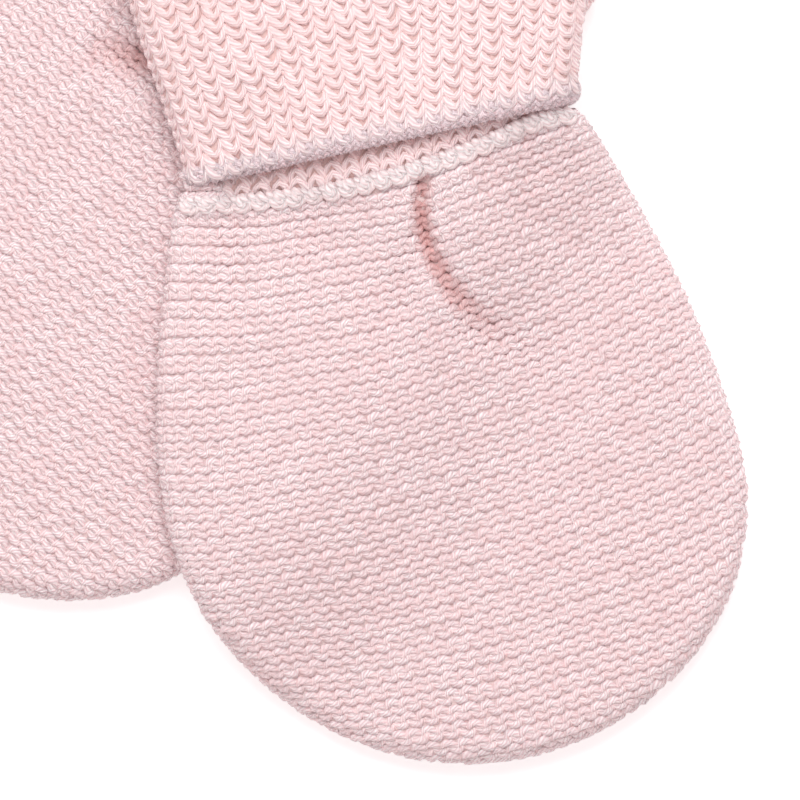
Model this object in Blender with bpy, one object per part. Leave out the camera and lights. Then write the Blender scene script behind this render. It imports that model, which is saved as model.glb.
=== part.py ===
# Pair of knitted baby mittens without thumbs, laid flat, the right one over the left one.
# Each mitten is a front panel and a back panel of garter knit, linked round their edge, and a cuff:
# one tube of 1x1 rib, linked to the panels at the wrist and turned down over its own lower half.
# Metres, +Z up. The origin is on the surface that the pair lies on, under the pair's middle.

import math

import bmesh
import bpy
import numpy as np

MM = 0.001

# Body of a mitten. "Along" runs from the wrist line to the tip, "across" from its centre line.
WRIST_HALF = 26.9 * MM
BELLY_HALF = 37.7 * MM
BELLY_ALONG = 46.0 * MM
BODY_LENGTH = 82.6 * MM
BODY_THICK = 6.4 * MM
BODY_WALL = 2.2 * MM
WRIST_TUCK = 0.8 * MM
WRIST_TUCK_REACH = 3.0 * MM
TIP_SWAY = 2.4 * MM
TIP_SWAY_START = 35.0 * MM
TIP_SWAY_REACH = 40.0 * MM
SEAM_GAP = 0.3 * MM

# Cuff. "Up" runs from its free edge to the fold at the wrist opening, "out" from the middle plane.
CUFF_LENGTH = 33.0 * MM
CUFF_EDGE_HALF = 26.2 * MM
CUFF_FOLD_HALF = 30.1 * MM
CUFF_FLARE_REACH = 24.0 * MM
CUFF_FLARE_POWER = 1.25
CUFF_EDGE_SWAY = 0.85 * MM
CUFF_SWAY = 1.7 * MM
CUFF_SWAY_SPAN = 40.0 * MM
CUFF_EDGE_ALONG = 0.3 * MM
RIB_WALL = 2.0 * MM
LAYER_GAP = 0.3 * MM
INNER_HALF_GAP = 0.3 * MM
RIB_DEPTH = 0.5 * MM
EDGE_ROUND = 0.5 * MM

# The line where the panels are linked to the wrist, an arc that dips towards the tip.
LINK_LOW = 1.0 * MM
LINK_EDGE = 0.4 * MM
LINK_DIP = 3.8 * MM
LINK_MIDDLE = -4.0 * MM
LINK_HALF = 27.0 * MM
WRIST_BLEND = 9.0 * MM

# How the pair lies: each wrist's middle on the surface, and how far its tip is turned from -Y.
RIGHT_WRIST = (-3.15 * MM, 33.3 * MM)
RIGHT_TURN = math.radians(12.5)
LEFT_WRIST = (-18.0 * MM, 48.4 * MM)
LEFT_TURN = math.radians(-38.0)
DRAPE_REACH = 28.0 * MM
DRAPE_GAP = 0.5 * MM
DRAPE_STEP_START = 2.0 * MM
DRAPE_STEP_REACH = 18.0 * MM

# Largest folds of each front: three places (across, along) that the fold runs through, in mm,
# its half-width at the wrist end and at the far end, and its height, negative where it sinks in.
# It loses FOLD_FADE of that height towards its far end, and sinks no deeper than DEEPEST_FOLD of
# what is under it.
RIGHT_FOLDS = [
    {"from": (4.6, 3.5), "by": (2.4, 16.0), "to": (8.0, 29.5), "near": 2.0, "far": 3.4, "high": -1.3},
    {"from": (10.0, 8.0), "by": (11.5, 15.0), "to": (15.5, 25.0), "near": 3.0, "far": 5.0, "high": 0.6},
    {"from": (-13.5, 5.0), "by": (-14.5, 13.0), "to": (-18.0, 24.0), "near": 2.6, "far": 4.2, "high": 0.6},
    {"from": (-19.5, 4.5), "by": (-21.0, 12.0), "to": (-23.5, 21.0), "near": 1.8, "far": 3.0, "high": -0.5},
    {"from": (19.5, 4.0), "by": (20.0, 7.0), "to": (20.5, 11.0), "near": 1.8, "far": 2.6, "high": -0.5},
]
LEFT_FOLDS = [
    {"from": (-5.0, 8.5), "by": (-9.5, 12.5), "to": (-17.0, 16.0), "near": 2.0, "far": 2.6, "high": -1.3},
    {"from": (-5.0, 16.5), "by": (-8.5, 19.0), "to": (-11.0, 23.0), "near": 3.4, "far": 4.2, "high": 0.6},
    {"from": (10.0, 6.0), "by": (11.0, 13.0), "to": (14.0, 22.0), "near": 1.8, "far": 3.2, "high": -0.7},
]
FOLD_STEPS = 24
FOLD_FADE = 0.6
DEEPEST_FOLD = 0.9

# Faces: columns and rows of a panel, closer together at the rounded edge, and cuff points on each
# flat run and each side.
FRONT_GRID = {"columns": 26, "wrist_rows": 13, "tip_rows": 9}
BACK_GRID = {"columns": 16, "wrist_rows": 9, "tip_rows": 8}
EDGE_COLUMNS = 3
EDGE_SHARE = 0.15
CUFF_RUN_POINTS = 36
CUFF_SIDE_POINTS = 10
OUTLINE_STEPS = 240

GARTER_PINK = (0.90, 0.70, 0.69)
RIB_PINK = (0.93, 0.76, 0.75)
KNIT_ROUGHNESS = 0.85


def ease(value):
    value = np.clip(value, 0.0, 1.0)
    return value * value * (3.0 - 2.0 * value)


# Sizes of the body

def body_half(along):
    swell = np.sin(0.5 * math.pi * np.clip(along / BELLY_ALONG, 0.0, 1.0))
    wrist_side = WRIST_HALF + (BELLY_HALF - WRIST_HALF) * swell
    tuck = np.clip(1.0 - along / WRIST_TUCK_REACH, 0.0, 1.0)
    wrist_side = wrist_side - WRIST_TUCK * tuck * tuck
    past = np.clip((along - BELLY_ALONG) / (BODY_LENGTH - BELLY_ALONG), 0.0, 1.0)
    return np.where(along < BELLY_ALONG, wrist_side, BELLY_HALF * np.sqrt(1.0 - past * past))


def body_radius(along):
    at_link = INNER_HALF_GAP + BODY_WALL
    return at_link + (0.5 * BODY_THICK - at_link) * ease(along / WRIST_BLEND)


def body_middle(along):
    at_link = 0.5 * cuff_thick()
    return at_link + (0.5 * BODY_THICK - at_link) * ease(along / WRIST_BLEND)


def link_along(across):
    arc = 1.0 - ((across - LINK_MIDDLE) / LINK_HALF) ** 2
    return np.maximum(LINK_LOW, LINK_EDGE + LINK_DIP * arc)


def tip_sway(along):
    return TIP_SWAY * ease((along - TIP_SWAY_START) / TIP_SWAY_REACH)


# Sizes of the cuff

def cuff_thick():
    return 2.0 * (INNER_HALF_GAP + 2.0 * RIB_WALL + LAYER_GAP)


def cuff_half(up):
    flare = np.clip(up / CUFF_FLARE_REACH, 0.0, 1.0) ** CUFF_FLARE_POWER
    return CUFF_EDGE_HALF + (CUFF_FOLD_HALF - CUFF_EDGE_HALF) * np.sin(0.5 * math.pi * flare)


def cuff_sway(up):
    return CUFF_EDGE_SWAY + CUFF_SWAY * np.sin(math.pi * np.clip(up, 0.0, CUFF_LENGTH) / CUFF_SWAY_SPAN)


# The two mittens on the surface, and how the right one drapes over the left one

def to_surface(across, along, wrist, turn):
    x = wrist[0] + across * math.cos(turn) + along * math.sin(turn)
    y = wrist[1] + across * math.sin(turn) - along * math.cos(turn)
    return x, y


def from_surface(x, y, wrist, turn):
    dx, dy = x - wrist[0], y - wrist[1]
    across = dx * math.cos(turn) + dy * math.sin(turn)
    along = dx * math.sin(turn) - dy * math.cos(turn)
    return across, along


def whole_half(along):
    return np.where(along < 0.0, cuff_half(-along), body_half(np.maximum(along, 0.0)))


def whole_outline():
    steps = 0.5 * (1.0 - np.cos(np.linspace(0.0, math.pi, OUTLINE_STEPS)))
    along = -CUFF_LENGTH + (CUFF_LENGTH + BODY_LENGTH) * steps
    half = whole_half(along)
    fold = np.linspace(-1.0, 1.0, OUTLINE_STEPS // 4) * cuff_half(np.array(CUFF_LENGTH))
    across = np.concatenate([half, -half, fold])
    return np.stack([across, np.concatenate([along, along, np.full_like(fold, -CUFF_LENGTH)])], axis=1)


def nearest(points, outline):
    gaps = np.linalg.norm(points[:, None, :] - outline[None, :, :], axis=2)
    index = gaps.argmin(axis=1)
    return index, gaps[np.arange(len(points)), index]


def drape(x, y):
    """Height of the right mitten's underside: over the left mitten, and down to the surface beside it."""
    across, along = from_surface(x, y, LEFT_WRIST, LEFT_TURN)
    points = np.stack([across, along], axis=1)
    _, gap = nearest(points, whole_outline())
    inside = (np.abs(across) < whole_half(along)) & (along > -CUFF_LENGTH) & (along < BODY_LENGTH)
    gap = np.where(inside, 0.0, gap)
    step = ease((along - DRAPE_STEP_START) / DRAPE_STEP_REACH)
    top = cuff_thick() + (BODY_THICK - cuff_thick()) * step + DRAPE_GAP
    return top * (1.0 - ease(gap / DRAPE_REACH))


# Folds of a front

def fold_height(across, along, folds):
    height = np.zeros_like(across)
    for fold in folds:
        start, middle, end = (np.array(fold[key]) * MM for key in ("from", "by", "to"))
        steps = np.linspace(0.0, 1.0, FOLD_STEPS)[:, None]
        path = (1 - steps) ** 2 * start + 2 * steps * (1 - steps) * middle + steps ** 2 * end
        index, gap = nearest(np.stack([across, along], axis=1), path)
        share = index / (FOLD_STEPS - 1)
        half = (fold["near"] + (fold["far"] - fold["near"]) * share) * MM
        fade = 1.0 - FOLD_FADE * share
        height = height + fold["high"] * MM * fade * np.exp(-((gap / half) ** 2))
    return height


# Panels

def panel_plan(s, t, spread):
    """Flat place of grid point (s, t): t below 0 is the straight part, from 0 to 1 the round tip."""
    straight = t < 0.0
    tip = np.clip(t, 0.0, 1.0)
    wide = BELLY_HALF + spread
    long = BODY_LENGTH - BELLY_ALONG + spread
    tip_across = wide * s * np.sqrt(1.0 - 0.5 * tip * tip)
    tip_along = BELLY_ALONG + long * tip * np.sqrt(1.0 - 0.5 * s * s)
    share = np.clip(1.0 + t, 0.0, 1.0)
    link = link_along(s * WRIST_HALF) + SEAM_GAP
    wrist_along = link + (BELLY_ALONG - link) * share
    wrist_across = s * (body_half(wrist_along) + spread)
    return np.where(straight, wrist_across, tip_across), np.where(straight, wrist_along, tip_along)


def body_edge(spread):
    """Points and outward normals of the body's edge, moved out by spread."""
    bend = np.linspace(0.0, 1.0, OUTLINE_STEPS)
    flank = np.linspace(-0.2 * BELLY_ALONG, BELLY_ALONG, OUTLINE_STEPS)[:-1]
    angle = 0.5 * math.pi * bend
    across = np.concatenate([body_half(flank) + spread, (BELLY_HALF + spread) * np.cos(angle)])
    long = BODY_LENGTH - BELLY_ALONG + spread
    along = np.concatenate([flank, BELLY_ALONG + long * np.sin(angle)])
    points = np.stack([across, along], axis=1)
    step = np.gradient(points, axis=0)
    normals = np.stack([step[:, 1], -step[:, 0]], axis=1)
    normals /= np.linalg.norm(normals, axis=1)[:, None]
    mirror = np.array([-1.0, 1.0])
    return np.concatenate([points, points * mirror]), np.concatenate([normals, normals * mirror])


def panel_points(s, t, depth, side, folds):
    """Points of a panel's face that lies depth inside the outer one: side 1 is the front, -1 the back."""
    radius_belly = 0.5 * BODY_THICK - depth
    spread = (0.5 * math.pi - 1.0) * radius_belly - depth
    across, along = panel_plan(s, t, spread)
    radius = body_radius(along) - depth
    edge, normals = body_edge(spread)
    index, inward = nearest(np.stack([across, along], axis=1), edge)
    angle = np.clip(0.5 * math.pi - inward / radius_belly, 0.0, 0.5 * math.pi)
    shift = np.where(angle > 0.0, (0.5 * math.pi - 1.0) * radius_belly
                     + radius_belly * (1.0 - np.sin(angle)) - inward, 0.0)
    across = across - normals[index, 0] * shift
    along = along - normals[index, 1] * shift
    rise = 0.5 * SEAM_GAP + (radius - 0.5 * SEAM_GAP) * np.cos(angle)
    if folds:
        relief = fold_height(across, along, folds) * np.cos(angle)
        room = radius - 0.5 * SEAM_GAP if depth > 0.0 else np.full_like(radius, BODY_THICK)
        rise = rise + np.maximum(relief, -DEEPEST_FOLD * room)
    z = body_middle(along) + side * rise
    return across + tip_sway(along), along, z


def crowd_edge(share, edge_steps):
    """Spreads even steps from 0 to 1 so that the last edge_steps of them share the rounded edge."""
    knee = 1.0 - edge_steps
    return np.where(share < knee, share * (1.0 - EDGE_SHARE) / knee,
                    1.0 - EDGE_SHARE * (1.0 - share) / edge_steps)


def panel_mesh(side, grid, folds, wrist, turn, draped):
    rows = grid["wrist_rows"] + grid["tip_rows"]
    bm = bmesh.new()
    bmesh.ops.create_grid(bm, x_segments=grid["columns"], y_segments=rows, size=1.0)
    outer = bmesh.ops.extrude_face_region(bm, geom=bm.faces[:], use_keep_orig=True)["geom"]
    outer = {item for item in outer if isinstance(item, bmesh.types.BMVert)}
    verts = list(bm.verts)
    column = np.array([vert.co.x for vert in verts])
    s = np.sign(column) * crowd_edge(np.abs(column), 2.0 * EDGE_COLUMNS / grid["columns"])
    row = np.array([0.5 * (vert.co.y + 1.0) * rows for vert in verts])
    tip = np.clip((row - grid["wrist_rows"]) / grid["tip_rows"], 0.0, 1.0)
    tip = crowd_edge(tip, EDGE_COLUMNS / grid["tip_rows"])
    t = np.where(row < grid["wrist_rows"] - 0.5, row / grid["wrist_rows"] - 1.0, tip)
    is_outer = np.array([vert in outer for vert in verts])
    faces = [panel_points(s, t, depth, side, folds) for depth in (0.0, BODY_WALL)]
    across, along, z = (np.where(is_outer, a, b) for a, b in zip(*faces))
    place(verts, across, along, z, wrist, turn, draped)
    return finished_mesh(bm)


# Cuffs

def cuff_section():
    """The wall's section, once round: how far up, how far out, whether ribs stand out there, at the link."""
    out = 0.5 * cuff_thick()
    slit_out = out - RIB_WALL
    slit_in = slit_out - LAYER_GAP
    inner = INNER_HALF_GAP
    bend = 0.5 * (out - inner)
    top = CUFF_LENGTH - bend
    section = [(EDGE_ROUND + share * (top - EDGE_ROUND), out, 1.0, False) for share in (0.0, 0.25, 0.5, 0.75, 1.0)]
    for degrees in (45, 90, 135):
        angle = math.radians(degrees)
        section.append((top + bend * math.sin(angle), inner + bend + bend * math.cos(angle),
                        max(0.0, math.cos(angle)), False))
    section += [(top, inner, 0.0, False), (0.5 * top, inner, 0.0, False)]
    section += [(0.0, inner, 0.0, True), (0.0, slit_in, 0.0, True)]
    section += [(0.5 * top, slit_in, 0.0, False), (top, slit_in, 0.0, False)]
    section += [(top, slit_out, 0.0, False), (0.5 * top, slit_out, 0.0, False)]
    section += [(EDGE_ROUND, slit_out, 0.0, False), (0.0, slit_out + EDGE_ROUND, 0.0, False)]
    section += [(0.0, out - EDGE_ROUND, 0.5, False)]
    return section


def cuff_ring(up, out, ribbed, at_link):
    """One ring of the flattened tube: front run, one side, back run, other side."""
    half = float(cuff_half(np.array(up))) - (0.5 * cuff_thick() - out)
    flat = half - out
    count = 2 * (CUFF_RUN_POINTS + CUFF_SIDE_POINTS)
    across, rise = np.zeros(count), np.zeros(count)
    for index in range(count):
        place_on, second = divmod(index, CUFF_RUN_POINTS + CUFF_SIDE_POINTS)
        sign = 1.0 if place_on == 0 else -1.0
        turned = np.clip((second - CUFF_RUN_POINTS) / CUFF_SIDE_POINTS, 0.0, 1.0) * math.pi
        run = min(second / CUFF_RUN_POINTS, 1.0)
        underside = place_on == 1 and turned == 0.0
        valley = RIB_DEPTH * ribbed if index % 2 and not underside else 0.0
        reach = out - valley
        across[index] = sign * (flat * (2.0 * run - 1.0) + reach * math.sin(turned))
        rise[index] = sign * reach * math.cos(turned)
    if at_link:
        along = link_along(across) - SEAM_GAP
    else:
        along = np.full(count, CUFF_EDGE_ALONG - up)
    return across + cuff_sway(up), along, 0.5 * cuff_thick() + rise


def cuff_mesh(wrist, turn, draped):
    bm = bmesh.new()
    rings = []
    for up, out, ribbed, at_link in cuff_section():
        across, along, z = cuff_ring(up, out, ribbed, at_link)
        ring = [bm.verts.new((0.0, 0.0, 0.0)) for _ in across]
        place(ring, across, along, z, wrist, turn, draped)
        rings.append(ring)
    for first, second in zip(rings, rings[1:] + rings[:1]):
        for index in range(len(first)):
            after = (index + 1) % len(first)
            bm.faces.new((first[index], first[after], second[after], second[index]))
    return finished_mesh(bm)


# Making the objects

def place(verts, across, along, z, wrist, turn, draped):
    x, y = to_surface(across, along, wrist, turn)
    if draped:
        z = z + drape(x, y)
    for vert, point in zip(verts, np.stack([x, y, z], axis=1)):
        vert.co = point


def finished_mesh(bm):
    bmesh.ops.recalc_face_normals(bm, faces=bm.faces[:])
    if bm.calc_volume(signed=True) < 0.0:
        bmesh.ops.reverse_faces(bm, faces=bm.faces[:])
    mesh = bpy.data.meshes.new("knit")
    bm.to_mesh(mesh)
    bm.free()
    return mesh


def knit_material(name, colour):
    material = bpy.data.materials.new(name)
    material.use_nodes = True
    shader = material.node_tree.nodes["Principled BSDF"]
    shader.inputs["Base Color"].default_value = (*colour, 1.0)
    shader.inputs["Roughness"].default_value = KNIT_ROUGHNESS
    shader.inputs["Metallic"].default_value = 0.0
    material.diffuse_color = (*colour, 1.0)
    return material


def add_piece(name, mesh, colour, collection):
    mesh.name = name
    mesh.materials.append(knit_material(name, colour))
    mesh.shade_smooth()
    mesh.set_sharp_from_angle(angle=math.radians(50))
    piece = bpy.data.objects.new(name, mesh)
    collection.objects.link(piece)
    return piece


def add_mitten(side_name, wrist, turn, folds, draped, collection):
    front = panel_mesh(1.0, FRONT_GRID, folds, wrist, turn, draped)
    back = panel_mesh(-1.0, BACK_GRID, [], wrist, turn, draped)
    cuff = cuff_mesh(wrist, turn, draped)
    return [
        add_piece(side_name + "_front", front, GARTER_PINK, collection),
        add_piece(side_name + "_back", back, GARTER_PINK, collection),
        add_piece(side_name + "_cuff", cuff, RIB_PINK, collection),
    ]


def centre_on_origin(pieces):
    corners = np.array([vert.co[:] for piece in pieces for vert in piece.data.vertices])
    low, high = corners.min(axis=0), corners.max(axis=0)
    shift = np.array([-0.5 * (low[0] + high[0]), -0.5 * (low[1] + high[1]), -low[2]])
    for piece in pieces:
        for vert in piece.data.vertices:
            vert.co = np.array(vert.co[:]) + shift
    print("pair's middle before it is centred, mm:", (-shift / MM).round(3))


def main():
    for item in list(bpy.data.objects):
        bpy.data.objects.remove(item, do_unlink=True)
    collection = bpy.data.collections.new("pair_of_mittens")
    bpy.context.scene.collection.children.link(collection)
    pieces = add_mitten("left", LEFT_WRIST, LEFT_TURN, LEFT_FOLDS, False, collection)
    pieces += add_mitten("right", RIGHT_WRIST, RIGHT_TURN, RIGHT_FOLDS, True, collection)
    centre_on_origin(pieces)


main()
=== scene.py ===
# A pair of knitted baby mittens laid flat, the right one over the left one, seen from straight above.
# Every front, back and cuff is a thin ground cloth that carries its own loops of plied yarn.
# Sizes are in millimetres until a mesh is made. On a mitten, across runs over its width and along
# runs from the wrist to the tip; wale and ridge count stitches across and along.

import math

import bmesh
import bpy
import numpy as np
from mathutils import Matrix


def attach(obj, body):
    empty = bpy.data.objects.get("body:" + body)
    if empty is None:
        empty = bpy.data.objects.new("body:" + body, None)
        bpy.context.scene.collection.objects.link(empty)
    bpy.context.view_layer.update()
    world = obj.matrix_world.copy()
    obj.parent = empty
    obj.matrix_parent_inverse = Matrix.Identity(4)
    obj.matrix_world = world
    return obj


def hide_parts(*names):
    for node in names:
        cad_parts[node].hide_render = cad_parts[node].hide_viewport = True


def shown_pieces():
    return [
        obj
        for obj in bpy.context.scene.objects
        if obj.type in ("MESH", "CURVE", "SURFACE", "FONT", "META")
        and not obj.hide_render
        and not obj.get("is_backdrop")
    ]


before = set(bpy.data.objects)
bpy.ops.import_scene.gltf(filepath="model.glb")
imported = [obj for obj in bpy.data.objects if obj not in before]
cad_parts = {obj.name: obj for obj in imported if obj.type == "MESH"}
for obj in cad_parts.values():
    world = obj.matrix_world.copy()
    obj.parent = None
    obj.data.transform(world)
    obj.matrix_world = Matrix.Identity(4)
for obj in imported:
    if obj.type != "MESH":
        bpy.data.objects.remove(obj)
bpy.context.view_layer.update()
mm = 0.001
seed = np.random.default_rng(7)

# Shared sizes, the same ones that the solids are made from
body = {
    "wristHalf": 26.9, "bellyHalf": 37.7, "bellyAlong": 46.0, "length": 82.6, "thick": 6.4,
    "wall": 2.2, "tuck": 0.8, "tuckReach": 3.0, "tipSway": 2.4, "swayStart": 35.0, "swayReach": 40.0,
    "seamGap": 0.3, "wristBlend": 9.0,
}
link = {"low": 1.0, "edge": 0.4, "dip": 3.8, "middle": -4.0, "half": 27.0}
cuff = {
    "length": 33.0, "edgeHalf": 26.2, "foldHalf": 30.1, "flareReach": 24.0, "flarePower": 1.25,
    "edgeSway": 0.85, "sway": 1.7, "swaySpan": 40.0, "edgeAlong": 0.3, "wall": 2.0, "layerGap": 0.3,
    "innerGap": 0.3, "ribDepth": 0.5, "runPoints": 36, "sidePoints": 10,
}
ribCount = cuff["runPoints"] + cuff["sidePoints"]  # two points to a rib, two runs and two sides
edgeRoll = {"high": 0.18, "at": 0.8, "reach": 1.3}  # the free edge rolls a little proud
drapeOver = {"reach": 28.0, "gap": 0.5, "stepStart": 2.0, "stepReach": 18.0}
floorGap = 0.02  # no yarn comes nearer to the floor
pairMiddle = (-18.073, 21.384)  # the pair's middle, from the middle of the picture

# Folds of the fronts: the places (across, along) that a fold starts at, bends by and runs to, its
# half width at the near and the far end, and its height
foldColumns = ("from", "by", "to", "near", "far", "high")
rightFolds = [
    ((5.0, 6.2), (0.6, 17.0), (11.4, 29.2), 0.9, 1.7, -2.1),
    ((8.0, 26.0), (12.0, 30.0), (20.0, 32.0), 2.8, 4.4, -0.8),
    ((2.5, 13.0), (-1.3, 20.4), (-6.1, 30.0), 2.0, 3.6, -0.8),
    ((10.0, 7.0), (12.0, 14.0), (15.5, 24.0), 3.2, 4.6, 1.0),
    ((-15.0, 4.5), (-17.2, 13.0), (-19.5, 24.0), 2.2, 3.8, 0.9),
    ((-20.5, 4.0), (-22.5, 10.0), (-24.5, 20.0), 1.6, 2.8, -0.9),
    ((-9.5, 4.0), (-10.5, 9.0), (-12.0, 16.0), 1.8, 2.8, -0.6),
    ((19.5, 4.0), (20.0, 7.0), (20.5, 11.0), 1.8, 2.6, -0.6),
]
leftFolds = [
    ((-5.0, 8.5), (-9.5, 12.5), (-17.0, 16.0), 1.7, 2.4, -1.8),
    ((-5.0, 16.5), (-8.5, 19.0), (-11.0, 23.0), 3.4, 4.2, 1.0),
    ((10.0, 6.0), (11.0, 13.0), (14.0, 22.0), 1.8, 3.2, -0.7),
]
# How each mitten lies, the bow and the lean of its ridges, and how far they draw in and where
rightMitten = {
    "name": "right", "wrist": (-3.15, 33.3), "turn": math.radians(12.5), "draped": True,
    "folds": [dict(zip(foldColumns, row)) for row in rightFolds],
    "arc": (90.0, 80.0), "lean": 0.075, "pinch": 1.4, "pinchAt": 4.0,
}
leftMitten = {
    "name": "left", "wrist": (-18.0, 48.4), "turn": math.radians(-38.0), "draped": False,
    "folds": [dict(zip(foldColumns, row)) for row in leftFolds],
    "arc": (150.0, 150.0), "lean": 0.0, "pinch": 0.6, "pinchAt": -6.0,
}


def ease(value):
    value = np.clip(value, 0.0, 1.0)
    return value * value * (3.0 - 2.0 * value)


def wristHalf(along):
    swell = np.sin(0.5 * math.pi * np.clip(along / body["bellyAlong"], 0.0, 1.0))
    return body["wristHalf"] + (body["bellyHalf"] - body["wristHalf"]) * swell


def bodyHalf(along):
    tuck = np.clip(1.0 - along / body["tuckReach"], 0.0, 1.0)
    wristSide = wristHalf(along) - body["tuck"] * tuck * tuck
    past = np.clip((along - body["bellyAlong"]) / (body["length"] - body["bellyAlong"]), 0.0, 1.0)
    return np.where(along < body["bellyAlong"], wristSide, body["bellyHalf"] * np.sqrt(1.0 - past * past))


def cuffThick():
    return 2.0 * (cuff["innerGap"] + 2.0 * cuff["wall"] + cuff["layerGap"])


def bodyRadius(along):
    atLink = cuff["innerGap"] + body["wall"]
    return atLink + (0.5 * body["thick"] - atLink) * ease(along / body["wristBlend"])


def bodyMiddle(along):
    atLink = 0.5 * cuffThick()
    return atLink + (0.5 * body["thick"] - atLink) * ease(along / body["wristBlend"])


def linkAlong(across):
    arc = 1.0 - ((across - link["middle"]) / link["half"]) ** 2
    return np.maximum(link["low"], link["edge"] + link["dip"] * arc)


def tipSway(along):
    return body["tipSway"] * ease((along - body["swayStart"]) / body["swayReach"])


def cuffHalf(up):
    flare = np.clip(up / cuff["flareReach"], 0.0, 1.0) ** cuff["flarePower"]
    return cuff["edgeHalf"] + (cuff["foldHalf"] - cuff["edgeHalf"]) * np.sin(0.5 * math.pi * flare)


def cuffSway(up):
    swayed = np.sin(math.pi * np.clip(up, 0.0, cuff["length"]) / cuff["swaySpan"])
    return cuff["edgeSway"] + cuff["sway"] * swayed


# How the two mittens lie, and how the right one drapes over the left one

def toSurface(across, along, mitten):
    turn = mitten["turn"]
    x = mitten["wrist"][0] + across * math.cos(turn) + along * math.sin(turn)
    y = mitten["wrist"][1] + across * math.sin(turn) - along * math.cos(turn)
    return x, y


def fromSurface(x, y, mitten):
    turn = mitten["turn"]
    dx, dy = x - mitten["wrist"][0], y - mitten["wrist"][1]
    return dx * math.cos(turn) + dy * math.sin(turn), dx * math.sin(turn) - dy * math.cos(turn)


def nearest(points, outline, chunk=3000):
    index = np.zeros(len(points), int)
    gap = np.zeros(len(points))
    for start in range(0, len(points), chunk):
        part = points[start:start + chunk]
        square = ((part[:, None, :] - outline[None, :, :]) ** 2).sum(axis=2)
        found = square.argmin(axis=1)
        index[start:start + chunk] = found
        gap[start:start + chunk] = np.sqrt(square[np.arange(len(part)), found])
    return index, gap


def wholeHalf(along):
    return np.where(along < 0.0, cuffHalf(-along), bodyHalf(np.maximum(along, 0.0)))


def wholeOutline(steps=240):
    share = 0.5 * (1.0 - np.cos(np.linspace(0.0, math.pi, steps)))
    along = -cuff["length"] + (cuff["length"] + body["length"]) * share
    half = wholeHalf(along)
    fold = np.linspace(-1.0, 1.0, steps // 4) * cuffHalf(cuff["length"])
    across = np.concatenate([half, -half, fold])
    return np.stack([across, np.concatenate([along, along, np.full_like(fold, -cuff["length"])])], axis=1)


underOutline = wholeOutline()


def drape(x, y):
    across, along = fromSurface(x, y, leftMitten)
    gap = nearest(np.stack([across, along], axis=1), underOutline)[1]
    inside = (np.abs(across) < wholeHalf(along)) & (along > -cuff["length"]) & (along < body["length"])
    gap = np.where(inside, 0.0, gap)
    step = ease((along - drapeOver["stepStart"]) / drapeOver["stepReach"])
    top = cuffThick() + (body["thick"] - cuffThick()) * step + drapeOver["gap"]
    return top * (1.0 - ease(gap / drapeOver["reach"]))


def laidDown(across, along, z, mitten):
    x, y = toSurface(across, along, mitten)
    if mitten["draped"]:
        z = z + drape(x, y)
    return np.stack([x - pairMiddle[0], y - pairMiddle[1], z], axis=-1)


# A surface is a fine grid of places and outward directions that stitches are set on

def makeSurface(firstValues, secondValues, points, flip):
    grid = points.reshape(len(secondValues), len(firstValues), 3)
    outward = np.cross(np.gradient(grid, axis=0), np.gradient(grid, axis=1)) * flip
    outward /= np.maximum(np.linalg.norm(outward, axis=2), 1e-9)[:, :, None]
    return {
        "points": grid, "outward": outward,
        "first": (firstValues[0], firstValues[1] - firstValues[0], len(firstValues)),
        "second": (secondValues[0], secondValues[1] - secondValues[0], len(secondValues)),
        "folds": [],
    }


def onSurface(surface, first, second):
    column, row = (
        np.clip((value - low) / step, 0.0, count - 1.001)
        for value, (low, step, count) in ((first, surface["first"]), (second, surface["second"]))
    )
    c, r = column.astype(int), row.astype(int)
    u, v = (column - c)[..., None], (row - r)[..., None]
    blended = []
    for name in ("points", "outward"):
        grid = surface[name]
        near = grid[r, c] * (1.0 - u) + grid[r, c + 1] * u
        far = grid[r + 1, c] * (1.0 - u) + grid[r + 1, c + 1] * u
        blended.append(near * (1.0 - v) + far * v)
    place, outward = blended
    return place, outward / np.maximum(np.linalg.norm(outward, axis=-1), 1e-9)[..., None]


foldFade = {"even": 0.35, "late": 0.65, "power": 4}  # how a fold runs out towards its far end
gathers = {"apart": 5.6, "high": 0.16, "lean": 0.12, "from": 3.0, "reach": 9.0}


def foldHeight(across, along, folds, steps=24):
    # the folds' troughs and ridges, and the small gathers that run down from the wrist
    height = np.zeros_like(across)
    for fold in folds:
        start, middle, end = (np.array(fold[key]) for key in ("from", "by", "to"))
        share = np.linspace(0.0, 1.0, steps)[:, None]
        path = (1 - share) ** 2 * start + 2 * share * (1 - share) * middle + share ** 2 * end
        index, gap = nearest(np.stack([across, along], axis=1), path)
        share = index / (steps - 1)
        half = fold["near"] + (fold["far"] - fold["near"]) * share
        fade = 1.0 - foldFade["even"] * share - foldFade["late"] * share ** foldFade["power"]
        height = height + fold["high"] * fade * np.exp(-((gap / half) ** 2))
    gathered = np.cos(2.0 * math.pi * (across + gathers["lean"] * along) / gathers["apart"])
    below = np.maximum(along - gathers["from"], 0.0)
    return height + gathers["high"] * gathered * np.exp(-below / gathers["reach"])


edgeExtra = (0.5 * math.pi - 1.0) * 0.5 * body["thick"]  # cloth that goes round the edge
edgeTurn = 0.6 * math.pi  # how far round the edge the knit may reach
pastWrist = 0.2  # the flat outline starts a little past the wrist


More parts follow.
